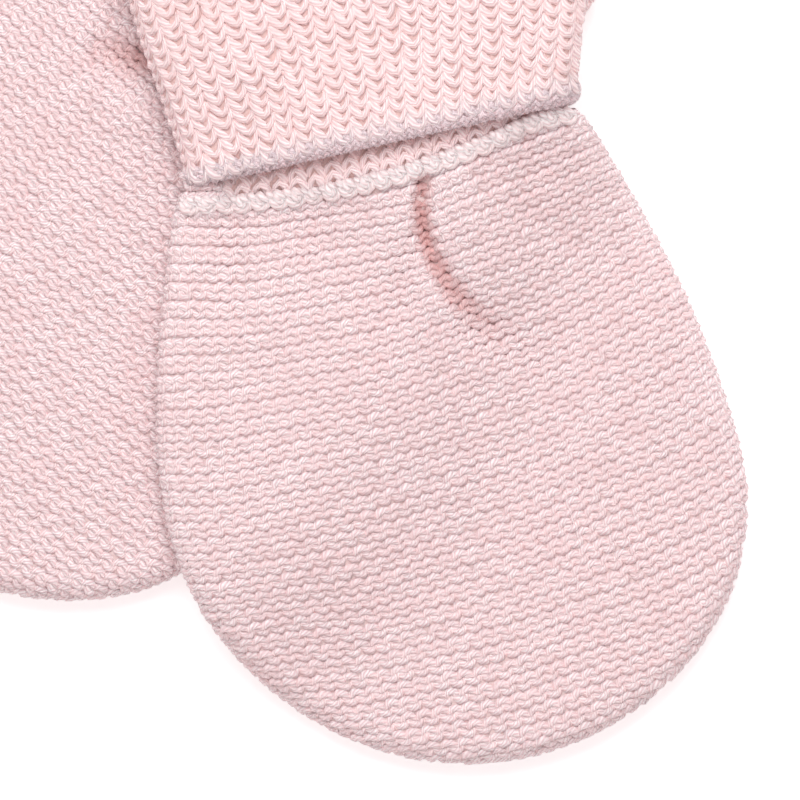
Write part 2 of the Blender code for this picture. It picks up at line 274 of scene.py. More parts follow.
def flatEdge(steps=300):
    bend = 0.5 * math.pi * np.linspace(0.0, 1.0, steps)
    flank = np.linspace(-pastWrist * body["bellyAlong"], body["bellyAlong"], steps)[:-1]
    long = body["length"] - body["bellyAlong"] + edgeExtra
    across = np.concatenate([bodyHalf(flank) + edgeExtra, (body["bellyHalf"] + edgeExtra) * np.cos(bend)])
    along = np.concatenate([flank, body["bellyAlong"] + long * np.sin(bend)])
    points = np.stack([across, along], axis=1)
    step = np.gradient(points, axis=0)
    outward = np.stack([step[:, 1], -step[:, 0]], axis=1)
    outward /= np.linalg.norm(outward, axis=1)[:, None]
    mirror = np.array([-1.0, 1.0])
    return np.concatenate([points, points * mirror]), np.concatenate([outward, outward * mirror])


edgePlaces, edgeOutward = flatEdge()


def inwardOf(across, along):
    flat = np.stack([across.ravel(), along.ravel()], axis=1)
    index = nearest(flat, edgePlaces)[0]
    inward = ((edgePlaces[index] - flat) * edgeOutward[index]).sum(axis=1)
    return inward.reshape(across.shape), index.reshape(across.shape)


def panelPoints(across, along, side, folds):
    radius = 0.5 * body["thick"]
    inward, index = inwardOf(across, along)
    angle = np.clip(0.5 * math.pi - inward / radius, 0.0, edgeTurn)
    shift = np.where(angle > 0.0, edgeExtra + radius * (1.0 - np.sin(angle)) - inward, 0.0)
    across = across - edgeOutward[index, 0] * shift
    along = along - edgeOutward[index, 1] * shift
    halfGap = 0.5 * body["seamGap"]
    rise = halfGap + (bodyRadius(along) - halfGap) * np.cos(angle)
    if folds:
        rise = rise + foldHeight(across, along, folds) * np.maximum(np.cos(angle), 0.0)
    return across + tipSway(along), along, bodyMiddle(along) + side * rise


def cuffProfile(run):
    # from under the free edge, up the outside, over the fold at the opening and down the inside
    out = 0.5 * cuffThick()
    bend = 0.5 * (out - cuff["innerGap"])
    edge = 0.5 * cuff["wall"]
    top = cuff["length"] - bend
    rolled = np.clip(-run / edge, 0.0, math.pi)
    folded = np.clip((run - (top - edge)) / bend, 0.0, math.pi)
    past = np.maximum(run - (top - edge) - math.pi * bend, 0.0)
    up = edge + np.clip(run, 0.0, top - edge) - edge * np.sin(rolled) + bend * np.sin(folded) - past
    reach = np.where(run < 0.0, out - edge + edge * np.cos(rolled), out - bend + bend * np.cos(folded))
    proud = edgeRoll["high"] * np.exp(-(((run - edgeRoll["at"]) / edgeRoll["reach"]) ** 2))
    return up, reach + np.where(run > -edge, proud, 0.0)


def cuffRing(column, up, out, ribbed):
    # column counts ribs round the flattened tube: front run, one side, back run, other side
    points = 2.0 * np.mod(column, float(ribCount))
    onBack = points >= ribCount
    second = np.where(onBack, points - cuff["runPoints"] - cuff["sidePoints"], points)
    sign = np.where(onBack, -1.0, 1.0)
    turned = np.clip((second - cuff["runPoints"]) / cuff["sidePoints"], 0.0, 1.0) * math.pi
    share = np.minimum(second / cuff["runPoints"], 1.0)
    valley = cuff["ribDepth"] * ribbed * (0.5 - 0.5 * np.cos(2.0 * math.pi * column))
    # the under side rests on its flat run, and its ribs rise again round the sides
    under = np.where(onBack, 1.0 - np.abs(np.cos(0.5 * turned)) ** 8 * (turned < 1.0), 1.0)
    flat = cuffHalf(up) - 0.5 * cuffThick()
    reach = out - valley * np.where(onBack & (turned == 0.0), 0.0, under)
    return sign * (flat * (2.0 * share - 1.0) + reach * np.sin(turned)), sign * reach * np.cos(turned)


# The grids' spans and steps, and how strongly the ribs stand out there
panelGrid = {"across": (-42.0, 42.0), "along": (-2.0, 87.0), "step": 0.5}
cuffGrid = {
    "column": (-3.0, ribCount + 1.0), "columnStep": 0.125,
    "run": (-3.2, 41.0), "along": (-8.0, 5.0), "step": 0.4, "ribbedFrom": 2.0, "innerRibbed": 0.6,
}


def evenSteps(span, step):
    return np.arange(span[0], span[1] + 0.01, step)


def panelSurface(mitten, side, folds):
    firstValues = evenSteps(panelGrid["across"], panelGrid["step"])
    secondValues = evenSteps(panelGrid["along"], panelGrid["step"])
    across, along = np.meshgrid(firstValues, secondValues)
    placed = panelPoints(across.ravel(), along.ravel(), side, folds)
    return makeSurface(firstValues, secondValues, laidDown(*placed, mitten), side) | {"folds": folds}


def cuffSurface(mitten):
    # from under the free edge to far down the inside
    firstValues = evenSteps(cuffGrid["column"], cuffGrid["columnStep"])
    secondValues = evenSteps(cuffGrid["run"], cuffGrid["step"])
    column, run = (grid.ravel() for grid in np.meshgrid(firstValues, secondValues))
    up, out = cuffProfile(run)
    across, rise = cuffRing(column, up, out, ease(run / cuffGrid["ribbedFrom"]))
    placed = across + cuffSway(up), cuff["edgeAlong"] - up, 0.5 * cuffThick() + rise
    return makeSurface(firstValues, secondValues, laidDown(*placed, mitten), -1.0)


def innerSurface(mitten):
    # the strip of rib that comes out from under the free edge and runs to the link
    firstValues = evenSteps(cuffGrid["column"], cuffGrid["columnStep"])
    secondValues = evenSteps(cuffGrid["along"], cuffGrid["step"])
    column, along = (grid.ravel() for grid in np.meshgrid(firstValues, secondValues))
    out = 0.5 * cuffThick() - cuff["wall"] - cuff["layerGap"]
    across, rise = cuffRing(column, -along, out, cuffGrid["innerRibbed"])
    placed = across + cuffSway(-along), along, 0.5 * cuffThick() + rise
    return makeSurface(firstValues, secondValues, laidDown(*placed, mitten), 1.0)


# Loops of yarn: one short tube is made with operators, and arrays lay its copies along their paths

def yarnTube(sides, steps):
    bm = bmesh.new()
    bmesh.ops.create_circle(bm, cap_ends=False, segments=sides, radius=1.0)
    rim = bm.edges[:]
    for _ in range(steps):
        made = bmesh.ops.extrude_edge_only(bm, edges=rim)["geom"]
        verts = [item for item in made if isinstance(item, bmesh.types.BMVert)]
        bmesh.ops.translate(bm, verts=verts, vec=(0.0, 0.0, 1.0))
        rim = [item for item in made if isinstance(item, bmesh.types.BMEdge)
               and item.verts[0] in verts and item.verts[1] in verts]
    bmesh.ops.holes_fill(bm, edges=[edge for edge in bm.edges if edge.is_boundary], sides=0)
    bmesh.ops.recalc_face_normals(bm, faces=bm.faces[:])
    bm.verts.index_update()
    places = np.array([vert.co[:] for vert in bm.verts])
    faces = [[vert.index for vert in face.verts] for face in bm.faces]
    bm.free()
    turn = np.arctan2(places[:, 1], places[:, 0]) / (2.0 * math.pi)
    cornerTurn = []
    for face in faces:
        turns = turn[face]
        if len(face) == 4 and turns.max() - turns.min() > 0.5:
            turns = np.where(turns < 0.0, turns + 1.0, turns)
        cornerTurn.append(turns)
    return {
        "station": places[:, 2].round().astype(int), "turn": turn, "steps": steps,
        "corners": np.concatenate([np.array(face) for face in faces]),
        "cornerTurn": np.concatenate(cornerTurn), "sizes": np.array([len(face) for face in faces]),
    }


def smoothPath(controls, steps):
    # an even run of places through the control points (Catmull-Rom)
    points = np.array(controls, float)
    ends = np.concatenate([[2 * points[0] - points[1]], points, [2 * points[-1] - points[-2]]])
    dense = []
    for index in range(len(points) - 1):
        p0, p1, p2, p3 = ends[index:index + 4]
        t = np.linspace(0.0, 1.0, 20, endpoint=index == len(points) - 2)[:, None]
        dense.append(0.5 * (2 * p1 + (p2 - p0) * t + (2 * p0 - 5 * p1 + 4 * p2 - p3) * t ** 2
                            + (3 * p1 - p0 - 3 * p2 + p3) * t ** 3))
    dense = np.concatenate(dense)
    run = np.concatenate([[0.0], np.linalg.norm(np.diff(dense, axis=0), axis=1).cumsum()])
    wanted = np.linspace(0.0, run[-1], steps + 1)
    return np.stack([np.interp(wanted, run, dense[:, axis]) for axis in range(3)], axis=1)


def unit(vectors):
    return vectors / np.maximum(np.linalg.norm(vectors, axis=-1), 1e-9)[..., None]


def layYarn(name, tube, paths, outward, radii, values, material):
    tangent = unit(np.gradient(paths, axis=1))
    side = unit(np.cross(tangent, outward))
    above = np.cross(side, tangent)
    station = tube["station"]
    angle = 2.0 * math.pi * tube["turn"][None, :, None]
    ring = side[:, station] * np.cos(angle) + above[:, station] * np.sin(angle)
    points = paths[:, station] + ring * radii[:, station, None]
    points[..., 2] = np.maximum(points[..., 2], floorGap)
    count, size = points.shape[:2]
    corners = (tube["corners"][None, :] + size * np.arange(count)[:, None]).ravel()
    sizes = np.tile(tube["sizes"], count)
    mesh = bpy.data.meshes.new(name)
    mesh.vertices.add(count * size)
    mesh.loops.add(len(corners))
    mesh.polygons.add(len(sizes))
    mesh.vertices.foreach_set("co", (points * mm).astype(np.float32).ravel())
    mesh.loops.foreach_set("vertex_index", corners.astype(np.int32))
    mesh.polygons.foreach_set("loop_start", np.concatenate([[0], sizes.cumsum()[:-1]]).astype(np.int32))
    mesh.polygons.foreach_set("use_smooth", np.ones(len(sizes), bool))
    mesh.update(calc_edges=True)
    mesh.validate()
    run = np.linalg.norm(np.diff(paths, axis=1), axis=2).cumsum(axis=1)
    run = np.concatenate([np.zeros((count, 1)), run], axis=1)
    shift = seed.uniform(0.0, jitter["run"], count)
    runAtCorner = (run + shift[:, None])[:, station][:, tube["corners"]]
    turnAtCorner = np.tile(tube["cornerTurn"], (count, 1))
    uv = mesh.uv_layers.new(name="yarn")
    uv.data.foreach_set("uv", np.stack([runAtCorner, turnAtCorner], axis=2).astype(np.float32).ravel())
    for label, atStation in values.items():
        layer = mesh.attributes.new(name=label, type="FLOAT", domain="POINT")
        layer.data.foreach_set("value", atStation[:, station].astype(np.float32).ravel())
    return addPiece(name, mesh, material)


def addPiece(name, mesh, material):
    mesh.name = name
    mesh.materials.append(material)
    piece = bpy.data.objects.new(name, mesh)
    bpy.context.scene.collection.objects.link(piece)
    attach(piece, "root")
    return piece


def stitchPaths(surface, toFlat, unitPath, first, second, sink):
    # unitPath is in stitches across, stitches along and millimetres outward
    count = len(first)
    nudgeFirst = seed.normal(0.0, jitter["place"], count)
    nudgeSecond = seed.normal(0.0, jitter["place"], count)
    tilt = seed.normal(0.0, jitter["tilt"], count)
    lift = seed.normal(0.0, jitter["lift"], count)
    wide = 1.0 + seed.normal(0.0, jitter["wide"], count)
    x = unitPath[None, :, 0] * wide[:, None]
    y = unitPath[None, :, 1] + tilt[:, None] * x
    column, row = first[:, None] + nudgeFirst[:, None] + x, second[:, None] + nudgeSecond[:, None] + y
    places, outward = onSurface(surface, *toFlat(column, row))
    out = unitPath[None, :, 2] + lift[:, None] - sink
    return places + outward * out[..., None], outward


def stitchRadii(count, look):
    ends = np.linspace(0.0, 1.0, look["steps"] + 1)
    taper = np.interp(ends, np.linspace(0.0, 1.0, len(look["girth"])), look["girth"])
    return look["radius"] * (1.0 + seed.normal(0.0, jitter["radius"], count))[:, None] * taper[None, :]


# Materials

class Signal:
    def __init__(self, shader, socket):
        self.shader = shader
        self.socket = socket

    def combined(self, operation, other, flipped=False):
        values = (other, self) if flipped else (self, other)
        node = self.shader.node("ShaderNodeMath", {"operation": operation}, dict(enumerate(values)))
        return Signal(self.shader, node.outputs[0])

    def __add__(self, other):
        return self.combined("ADD", other)

    def __radd__(self, other):
        return self.combined("ADD", other, True)

    def __sub__(self, other):
        return self.combined("SUBTRACT", other)

    def __rsub__(self, other):
        return self.combined("SUBTRACT", other, True)

    def __mul__(self, other):
        return self.combined("MULTIPLY", other)

    def __rmul__(self, other):
        return self.combined("MULTIPLY", other, True)

    def __pow__(self, other):
        return self.combined("POWER", other)

    def cosine(self):
        node = self.shader.node("ShaderNodeMath", {"operation": "COSINE"}, {0: self})
        return Signal(self.shader, node.outputs[0])


class Shader:
    def __init__(self, name):
        self.material = bpy.data.materials.new(name)
        self.material.use_nodes = True
        self.tree = self.material.node_tree
        self.surface = self.tree.nodes["Principled BSDF"]

    def node(self, kind, settings, inputs):
        made = self.tree.nodes.new(kind)
        for key, value in settings.items():
            setattr(made, key, value)
        self.feed(made, inputs)
        return made

    def feed(self, node, inputs):
        for key, value in inputs.items():
            if isinstance(value, Signal):
                self.tree.links.new(value.socket, node.inputs[key])
            elif isinstance(value, bpy.types.NodeSocket):
                self.tree.links.new(value, node.inputs[key])
            else:
                node.inputs[key].default_value = value

    def signal(self, node, output=0):
        return Signal(self, node.outputs[output])

    def mixed(self, factor, first, second):
        settings = {"data_type": "RGBA", "clamp_factor": True}
        return self.signal(self.node("ShaderNodeMix", settings, {0: factor, 6: first, 7: second}), 2)

    def attribute(self, name):
        return self.signal(self.node("ShaderNodeAttribute", {"attribute_name": name}, {}), "Fac")

    def noise(self, scale, detail=2.0):
        place = self.node("ShaderNodeTexCoord", {}, {}).outputs["Object"]
        values = {"Vector": place, "Scale": scale, "Detail": detail}
        return self.signal(self.node("ShaderNodeTexNoise", {}, values), 0)


def linear(code):
    parts = [int(code[start:start + 2], 16) / 255.0 for start in (0, 2, 4)]
    return (*[part / 12.92 if part <= 0.04045 else ((part + 0.055) / 1.055) ** 2.4 for part in parts], 1.0)


# Plies twist round each yarn. Each ply's crown is painted pale as a highlight, and the groove between
# two of them is painted darker as shade. Some loops are duller, and painted shade deepens the colour
# where a loop goes behind others, and in the sharp creases
yarnLook = {
    "plyDepth": 0.00007, "fibreScale": 2600.0, "fibreBump": 0.5, "patchScale": 60.0, "patchShare": 0.9,
    # the last colour here is the painted shade laid into the sharp creases
    "toneShare": 0.55, "roughness": (0.30, 0.60), "fibreRough": 0.2, "creaseShadeColour": "DCA9A6",
}
yarnLooks = {
    "garter": {"plies": 6.0, "plyPitch": 0.5, "crownHighlight": "FFF8F8", "grooveShade": "E6CACF", "shadeBehind": "F3CCC9",
               "dull": "F1D6D8"},
    "rib": {"plies": 8.0, "plyPitch": 1.3, "crownHighlight": "FFF4F2", "grooveShade": "E9CDD2", "shadeBehind": "F3CECA",
            "dull": "F3DBDB"},
    # the curl turns under the free edge: its yarn is a darker, lilac copy, painted shade
    "hem": {"plies": 6.0, "plyPitch": 0.6, "crownHighlight": "F8E7EA", "grooveShade": "E8D0D5", "shadeBehind": "ECCCCF",
            "dull": "EFDCE0"},
    # the link row: a paler, whiter copy of the yarn, painted light on that raised row
    "link": {"plies": 6.0, "plyPitch": 0.9, "crownHighlight": "FFFAF9", "grooveShade": "F8E1E2", "shadeBehind": "F6D4D3",
             "dull": "FCE8E8"},
}
groundLook = {"weaveScale": 2200.0, "weaveDetail": 3.0, "weaveDepth": 0.0002, "roughness": (0.7, 0.9)}
# Cotton lets a little light through and has a faint sheen
cotton = {
    "Metallic": 0.0, "Sheen Weight": 0.2, "Sheen Roughness": 0.5,
    "Subsurface Radius": (1.0, 0.75, 0.7), "Subsurface Scale": 0.0013,
}


def yarnMaterial(name, look):
    shader = Shader(name)
    place = shader.node("ShaderNodeUVMap", {"uv_map": "yarn"}, {}).outputs["UV"]
    parts = shader.node("ShaderNodeSeparateXYZ", {}, {0: place})
    run, turn = shader.signal(parts, 0), shader.signal(parts, 1)
    strand = (turn * (look["plies"] * 2.0 * math.pi) - run * (2.0 * math.pi / look["plyPitch"])).cosine()
    strand = strand * 0.5 + 0.5
    fibre = shader.noise(yarnLook["fibreScale"])
    patch = shader.noise(yarnLook["patchScale"])
    # painted light on the plies: a pale highlight on each crown, painted shade in each groove
    plyLitAndShaded = shader.mixed(strand, linear(look["grooveShade"]), linear(look["crownHighlight"]))
    dullness = shader.attribute("tone") * yarnLook["toneShare"] + (patch - 0.5) * yarnLook["patchShare"]
    dull = shader.mixed(dullness, plyLitAndShaded, linear(look["dull"]))
    # painted shade where the yarn goes behind other loops
    shaded = shader.mixed(shader.attribute("depth"), dull, linear(look["shadeBehind"]))
    # painted shade in the sharp creases
    colour = shader.mixed(shader.attribute("fold"), shaded, linear(yarnLook["creaseShadeColour"]))
    low, high = yarnLook["roughness"]
    bump = shader.node("ShaderNodeBump", {}, {
        "Strength": 1.0, "Distance": yarnLook["plyDepth"], "Height": strand + fibre * yarnLook["fibreBump"]})
    shader.feed(shader.surface, cotton | {
        "Base Color": colour, "Normal": bump.outputs[0],
        "Roughness": high - strand * (high - low) + (fibre - 0.5) * yarnLook["fibreRough"],
        "IOR": 1.45, "Subsurface Weight": 0.6})
    shader.surface.subsurface_method = "BURLEY"
    return shader.material


def groundMaterial(name, top, low):
    shader = Shader(name)
    weave = shader.noise(groundLook["weaveScale"], groundLook["weaveDetail"])
    colour = shader.mixed(weave, linear(low), linear(top))
    smooth, rough = groundLook["roughness"]
    bump = shader.node("ShaderNodeBump", {}, {
        "Strength": 1.0, "Distance": groundLook["weaveDepth"], "Height": weave})
    shader.feed(shader.surface, cotton | {
        "Base Color": colour, "Normal": bump.outputs[0], "Roughness": rough - weave * (rough - smooth),
        "Subsurface Weight": 0.5})
    shader.surface.subsurface_method = "BURLEY"
    return shader.material


yarns = [yarnMaterial(kind + "_yarn", look) for kind, look in yarnLooks.items()]
garterYarn, ribYarn, shadedCurlYarn, litLinkYarn = yarns
# the ground cloths stand for yarn further in; their deeper pink is painted shade between the loops
garterGround = groundMaterial("garter_ground", "F9E1DF", "F0CDCA")
ribGround = groundMaterial("rib_ground", "F8D6D1", "EEC3BD")
print("materials made")


# Ground cloths: a closed thin shell under the loops of each panel and cuff

def panelPlan(s, t):
    tip = np.clip(t, 0.0, 1.0)
    wide = body["bellyHalf"] + edgeExtra
    long = body["length"] - body["bellyAlong"] + edgeExtra
    tipAcross = wide * s * np.sqrt(1.0 - 0.5 * tip * tip)
    tipAlong = body["bellyAlong"] + long * tip * np.sqrt(1.0 - 0.5 * s * s)
    start = linkAlong(s * body["wristHalf"]) + body["seamGap"]
    wristAlong = start + (body["bellyAlong"] - start) * np.clip(1.0 + t, 0.0, 1.0)
    wristAcross = s * (bodyHalf(wristAlong) + edgeExtra)
    return np.where(t < 0.0, wristAcross, tipAcross), np.where(t < 0.0, wristAlong, tipAlong)


groundCloth = {
    "columns": 64, "crowded": 0.35, "wristRows": 36, "tipRows": 24, "outer": 0.42, "inner": 1.7,
    "sunk": 0.35, "sunkMost": 1.5,
}


def shellPiece(name, bm, material):
    bmesh.ops.recalc_face_normals(bm, faces=bm.faces[:])
    if bm.calc_volume(signed=True) < 0.0:
        bmesh.ops.reverse_faces(bm, faces=bm.faces[:])
    mesh = bpy.data.meshes.new(name)
    bm.to_mesh(mesh)
    bm.free()
    mesh.shade_smooth()
    return addPiece(name, mesh, material)


def panelGround(name, surface):
    wristRows, tipRows = groundCloth["wristRows"], groundCloth["tipRows"]
    bm = bmesh.new()
    bmesh.ops.create_grid(bm, x_segments=groundCloth["columns"], y_segments=wristRows + tipRows, size=1.0)
    made = bmesh.ops.extrude_face_region(bm, geom=bm.faces[:], use_keep_orig=True)["geom"]
    outer = {item for item in made if isinstance(item, bmesh.types.BMVert)}
    row = np.array([0.5 * (vert.co.y + 1.0) * (wristRows + tipRows) for vert in bm.verts])
    t = np.where(row < wristRows - 0.5, row / wristRows - 1.0, (row - wristRows) / tipRows)
    s = np.array([vert.co.x for vert in bm.verts])
    crowded = groundCloth["crowded"]  # the columns lie closer towards the edge
    s = np.sin(0.5 * math.pi * s) * crowded + s * (1.0 - crowded)
    across, along = panelPlan(s, t)
    places, outward = onSurface(surface, across, along)
    depth = np.array([groundCloth["outer"] if vert in outer else groundCloth["inner"] for vert in bm.verts])
    if surface["folds"]:
        trough = np.clip(-foldHeight(across, along, surface["folds"]), 0.0, groundCloth["sunkMost"])
        depth = depth + groundCloth["sunk"] * trough
    for vert, point in zip(bm.verts, (places - outward * depth[:, None]) * mm):
        vert.co = point
    return shellPiece(name, bm, garterGround)


cuffCloth = {
    "columns": 184, "outer": 0.56, "thick": 0.8, "outerRows": 9, "lowest": 0.02, "ribbed": 0.8,
    "foldDegrees": (30, 60, 90, 120, 150), "innerShares": (1.0, 0.6, 0.3, 0.1),
    "past": 0.25, "pastLink": 0.5,
}


def cuffSection():
    # (up, out, ribbed, at the link) round the wall: outside, over the fold, down the inside to the
    # link, and back through the slit between the two layers
    out = 0.5 * cuffThick() - cuffCloth["outer"]
    slitOut = out - cuffCloth["thick"]
    slitIn = 0.5 * cuffThick() - cuff["wall"] - cuff["layerGap"] - cuffCloth["outer"]
    inner = slitIn - cuffCloth["thick"]
    middle = 0.5 * (out + inner)
    bend = out - middle
    top = cuff["length"] - 0.5 * cuffThick() + middle - cuff["wall"]
    lowest, shares = cuffCloth["lowest"], cuffCloth["innerShares"]
    section = [(share * top, out, True, False) for share in np.linspace(lowest, 1.0, cuffCloth["outerRows"])]
    for angle in np.radians(cuffCloth["foldDegrees"]):
        section.append((top + bend * math.sin(angle), middle + bend * math.cos(angle), False, False))
    section += [(share * top, inner, False, False) for share in shares]
    section += [(0.0, inner, False, True), (0.0, slitIn, False, True)]
    section += [(share * top, slitIn, False, False) for share in reversed(shares)]
    return section + [(share * top, slitOut, False, False) for share in (*shares[:-1], lowest)]


def cuffGround(name, mitten):
    section = cuffSection()
    bm = bmesh.new()
    bmesh.ops.create_grid(bm, x_segments=cuffCloth["columns"], y_segments=len(section), size=1.0)
    column = np.array([0.5 * (vert.co.x + 1.0) * ribCount for vert in bm.verts])
    share = np.array([0.5 * (vert.co.y + 1.0) for vert in bm.verts])
    index = np.round(share * len(section)).astype(int) % len(section)
    up, out, ribbed, atLink = (np.array(values)[index] for values in zip(*section))
    across, rise = cuffRing(column, up, out, cuffCloth["ribbed"] * ribbed)
    across = across + cuffSway(up)
    alongWall = cuff["edgeAlong"] - up - cuffCloth["past"]
    along = np.where(atLink, linkAlong(across) - cuffCloth["pastLink"], alongWall)
    places = laidDown(across, along, 0.5 * cuffThick() + rise, mitten)
    for vert, point in zip(bm.verts, places * mm):
        vert.co = point
    bmesh.ops.remove_doubles(bm, verts=bm.verts[:], dist=1e-6)
    return shellPiece(name, bm, ribGround)


# Yarn loops. A loop's points are in stitches across, stitches along and millimetres outward, and
# its girth runs from end to end. Chance moves, tilts, lifts, widens and thickens each loop a little
jitter = {"place": 0.028, "tilt": 0.09, "lift": 0.035, "wide": 0.05, "radius": 0.06, "run": 3.0}
# painted shade: the colour deepens where a point of the yarn lies further in, behind other loops
behind = {"from": 0.1, "over": 0.8}  # a point that lies further in has a deeper colour
creaseShade = {"sharp": 1.5, "full": 1.9, "power": 1.2}
# Garter knit: each ridge is a row of needle loop heads over a row of sinker loops, half a wale apart
garter = {
    "halfWales": 19.5, "walesAside": 22, "waver": 0.06, "waverTurn": 1.7,
    "ridges": 37, "firstRidge": -4.0, "moreRidges": 2, "start": 7.2, "pitch": (2.16, 2.06, 2.24),
    "belowLink": 1.0, "sideFrom": 21.0, "sideStart": -0.9, "frontFrom": -0.6, "backFrom": 0.2,
    "radius": 0.57, "girth": (0.8, 0.95, 1.04, 1.08, 1.04, 0.95, 0.8), "sides": 5, "steps": 7, "sink": 0.54,
    "head": [(-0.34, 0.28, -0.75), (-0.45, 0.05, -0.30), (-0.38, -0.14, -0.05), (-0.20, -0.29, 0.06),
             (0.06, -0.34, 0.08), (0.29, -0.22, 0.00), (0.43, 0.02, -0.26), (0.36, 0.26, -0.75)],
    "sinker": [(-0.28, -0.38, -0.70), (-0.44, -0.10, -0.32), (-0.38, 0.12, -0.06), (-0.20, 0.28, 0.04),
               (0.06, 0.33, 0.05), (0.29, 0.22, -0.01), (0.43, -0.02, -0.28), (0.30, -0.36, -0.70)],
}
# Its rows: where their pitch changes, how they lean and lean less, draw in beside the main fold,
# and waver in two waves (height, turns across and along, start)
garterRows = {
    "nearShare": 0.35, "farFrom": 0.5, "farShare": 0.4,
    "leanOver": 30.0, "leanLess": 0.6, "lessFrom": 50.0, "lessOver": 25.0,
    "pinchSoft": 14.0, "pinchWide": 22.0, "pinchFrom": 8.0, "pinchOver": 28.0,
    "waves": ((0.16, 0.31, 0.11, 0.0), (0.12, -0.23, 0.17, 1.0)), "waveAcross": 0.6,
}
# Cuff rib: every loop is a V with a long left leg, and its ends go behind the loop above it
rib = {
    "course": 1.53, "courses": 25, "start": 2.6, "firstColumn": -2, "waver": 0.05, "waverTurn": 0.5,
    "radius": 0.53, "sides": 6, "steps": 8, "sink": 0.54,
    "girth": (0.9, 1.15, 1.26, 1.22, 1.06, 0.94, 0.86, 0.85, 0.84),
    "loop": [(-0.50, -0.65, -0.34), (-0.46, -0.22, -0.04), (-0.37, 0.15, 0.04), (-0.22, 0.48, 0.04),
             (-0.02, 0.70, -0.04), (0.18, 0.68, -0.02), (0.32, 0.40, 0.04), (0.41, -0.02, 0.06),
             (0.46, -0.34, 0.00), (0.48, -0.64, -0.34)],
}
# The free edge: one row of larger loops, and knit that curls under it
hem = {
    "radius": 0.55, "lift": 0.12, "wide": 1.04, "long": 1.25, "rimRun": 1.4,
    "lower": 0.9, "lowerAt": -0.5, "lowerWide": 4.0, "lowerFrom": 1.4, "lowerFade": 7.0,
    "curlRuns": (0.75, -0.25, -1.25, -2.2), "curlRadius": 0.44, "curlWide": 0.5, "curlLong": 1.5,
    "sink": 0.36,
    "head": [(-0.34, 0.30, -0.20), (-0.30, -0.04, -0.05), (0.00, -0.24, 0.05), (0.30, -0.02, -0.05),
             (0.34, 0.30, -0.20)],
    "sinker": [(-0.32, -0.30, -0.20), (-0.30, 0.02, -0.05), (0.00, 0.25, 0.05), (0.30, 0.06, -0.05),
               (0.34, -0.28, -0.20)],
}
# The strip of rib above the link, and the link itself: a row of lobes that hang from that strip, one to
# a rib, each an outer and an inner loop under two short strands that cross its top
lobe = {
    "stripRows": 4, "stripCourse": 1.45, "stripAt": -1.15, "stripShift": 0.35, "stripOut": 2.3,
    "stripRadius": 0.5, "stripSteps": 6, "stripShade": (-0.25, 0.3, 0.8),
    "count": 23, "reach": 26.6, "at": 0.75, "long": 0.88, "low": 0.06, "backLower": 0.4, "sink": 0.17,
    "strands": (("outer", "outer", 0.0), ("inner", "inner", 0.0), ("cross_early", "cross", -0.3),
                ("cross", "cross", 0.2)),
    "radii": {"outer": 0.54, "inner": 0.52, "cross": 0.42},
    "outer": [(-0.46, -1.15, -0.50), (-0.47, -0.60, 0.02), (-0.41, 0.05, 0.10), (-0.24, 0.66, 0.10),
              (0.00, 0.92, 0.04), (0.24, 0.64, 0.10), (0.40, 0.03, 0.10), (0.46, -0.60, 0.02),
              (0.46, -1.15, -0.50)],
    "inner": [(-0.16, -1.25, -0.30), (-0.20, -0.60, 0.14), (-0.15, -0.05, 0.18), (0.02, 0.30, 0.16),
              (0.17, -0.05, 0.18), (0.20, -0.60, 0.14), (0.16, -1.25, -0.30)],
    "cross": [(-0.27, -1.35, -0.20), (-0.19, -0.98, 0.12), (-0.03, -0.55, 0.24), (0.15, -0.15, 0.22),
              (0.24, 0.12, -0.05)],
}
cheap = {"sides": 4, "steps": 4}  # for small loops and for those on hidden sides


def garterPlace(mitten):
    near, middle, far = garter["pitch"]
    step = 0.25
    ridge = np.arange(garter["firstRidge"] - 2.0, garter["ridges"] + 3.01, step)
    share = ridge / garter["ridges"]
    pitch = middle + (near - middle) * (1.0 - ease(share / garterRows["nearShare"]))
    pitch = pitch + (far - middle) * ease((share - garterRows["farFrom"]) / garterRows["farShare"])
    runs = np.concatenate([[0.0], (0.5 * (pitch[1:] + pitch[:-1]) * step).cumsum()])
    runs += garter["start"] - np.interp(0.0, ridge, runs)
    arcNear, arcMore = mitten["arc"]

    def place(wale, ridgeAt):
        run = np.interp(ridgeAt, ridge, runs)
        arc = arcNear + arcMore * np.clip(run / body["bellyAlong"], 0.0, 1.0)
        lean = mitten["lean"] * ease(run / garterRows["leanOver"])
        less = ease((run - garterRows["lessFrom"]) / garterRows["lessOver"])
        lean = lean * (1.0 - garterRows["leanLess"] * less)
        along = run
        for _ in range(3):
            width = (wristHalf(np.clip(along, 0.0, body["bellyAlong"])) + edgeExtra) / garter["halfWales"]
            across = wale * width
            along = run - across ** 2 / (2.0 * arc) - lean * across
        off = across - mitten["pinchAt"]
        drawn = mitten["pinch"] * off / np.sqrt(off ** 2 + garterRows["pinchSoft"])
        drawn = drawn * np.exp(-np.abs(off) / garterRows["pinchWide"])
        across = across - drawn * (1.0 - ease((along - garterRows["pinchFrom"]) / garterRows["pinchOver"]))
        waves = [
            high * np.sin(perAlong * along + perAcross * across + start)
            for high, perAcross, perAlong, start in garterRows["waves"]
        ]
        wave = waves[0] + waves[1]
        return across + garterRows["waveAcross"] * wave, along + wave

    return place


def foldShade(surface, toFlat, first, second, unitPath):
    # how far down each point of the yarn lies in the sharp creases, from 0 to 1: the share of painted crease
    # shade it gets
    shape = (len(first), len(unitPath))
    creases = [fold for fold in surface["folds"] if fold["high"] < -creaseShade["sharp"]]
    if not creases:
        return np.zeros(shape)
    column = (first[:, None] + unitPath[:, 0]).ravel()
    row = (second[:, None] + unitPath[:, 1]).ravel()
    sunk = -foldHeight(*toFlat(column, row), creases)
    return np.clip(sunk / creaseShade["full"], 0.0, 1.0).reshape(shape) ** creaseShade["power"]


